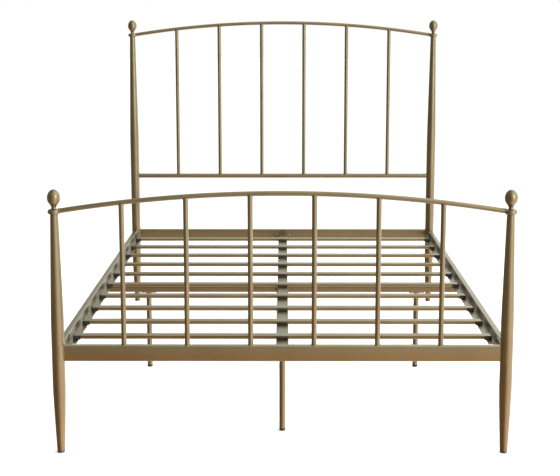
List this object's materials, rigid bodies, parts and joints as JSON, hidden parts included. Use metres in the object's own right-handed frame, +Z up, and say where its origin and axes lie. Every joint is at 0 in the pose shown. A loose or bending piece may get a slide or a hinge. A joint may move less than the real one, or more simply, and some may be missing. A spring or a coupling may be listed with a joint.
{
  "type": "metal bed frame",
  "caption": "Metal bed frame with arched headboard and footboard, vertical spindles, tapered posts with egg finials, and a slatted deck on a centre rail.",
  "frame": {"origin": "on the floor, in the middle of the four posts", "axes": "+Z up; +Y from the footboard to the headboard; +X to the right seen from the footboard"},
  "size_m": [1.44, 1.9822, 1.337],
  "materials": {
    "frame_coat": "satin antique-gold powder coat",
    "foot_plastic": "moulded, matte, near black",
    "deck_plastic": "moulded, matte, black",
    "zinc_steel": "zinc plated"
  },
  "bodies": {
    "frame": {"headboard_post_left": "frame_coat", "headboard_post_right": "frame_coat", "headboard_collar_left": "frame_coat", "headboard_collar_right": "frame_coat", "headboard_finial_left": "frame_coat", "headboard_finial_right": "frame_coat", "footboard_post_left": "frame_coat", "footboard_post_right": "frame_coat", "footboard_collar_left": "frame_coat", "footboard_collar_right": "frame_coat", "footboard_finial_left": "frame_coat", "footboard_finial_right": "frame_coat", "headboard_spindle_1": "frame_coat", "headboard_spindle_2": "frame_coat", "headboard_spindle_3": "frame_coat", "headboard_spindle_4": "frame_coat", "headboard_spindle_5": "frame_coat", "headboard_spindle_6": "frame_coat", "footboard_spindle_1": "frame_coat", "footboard_spindle_2": "frame_coat", "footboard_spindle_3": "frame_coat", "footboard_spindle_4": "frame_coat", "footboard_spindle_5": "frame_coat", "footboard_spindle_6": "frame_coat", "headboard_arch_rail": "frame_coat", "headboard_cross_tube": "frame_coat", "headboard_bottom_rail": "frame_coat", "footboard_arch_rail": "frame_coat", "footboard_bottom_rail": "frame_coat", "side_rail_left": "frame_coat", "side_rail_right": "frame_coat", "slat_ledge_left": "frame_coat", "slat_ledge_right": "frame_coat", "cross_bar_left": "frame_coat", "cross_bar_right": "frame_coat", "side_leg_left": "frame_coat", "side_leg_right": "frame_coat", "center_leg_front": "frame_coat", "center_leg_middle": "frame_coat", "center_leg_rear": "frame_coat", "center_rail": "frame_coat", "slats": "frame_coat", "slat_end_caps": "deck_plastic", "slat_center_clips": "deck_plastic", "post_glides": "foot_plastic", "rail_saddles": "frame_coat", "rail_tabs": "frame_coat", "finial_studs": "zinc_steel", "post_top_inserts": "zinc_steel", "leg_inserts": "zinc_steel", "rail_bolts": "zinc_steel", "rail_washers": "zinc_steel", "rail_nuts": "zinc_steel", "frame_screws": "zinc_steel", "rivet_nuts": "zinc_steel"},
    "foot_front": {"leveling_foot_front": "foot_plastic"},
    "foot_middle": {"leveling_foot_middle": "foot_plastic"},
    "foot_rear": {"leveling_foot_rear": "foot_plastic"},
    "foot_left": {"leveling_foot_left": "foot_plastic"},
    "foot_right": {"leveling_foot_right": "foot_plastic"}
  },
  "joints": [
    {"name": "foot_front_screw", "type": "slide", "parent": "frame", "child": "foot_front", "axis": [0, 0, -1], "range_m": [0, 0.012]},
    {"name": "foot_middle_screw", "type": "slide", "parent": "frame", "child": "foot_middle", "axis": [0, 0, -1], "range_m": [0, 0.012]},
    {"name": "foot_rear_screw", "type": "slide", "parent": "frame", "child": "foot_rear", "axis": [0, 0, -1], "range_m": [0, 0.012]},
    {"name": "foot_left_screw", "type": "slide", "parent": "frame", "child": "foot_left", "axis": [0, 0, -1], "range_m": [0, 0.012]},
    {"name": "foot_right_screw", "type": "slide", "parent": "frame", "child": "foot_right", "axis": [0, 0, -1], "range_m": [0, 0.012]}
  ]
}
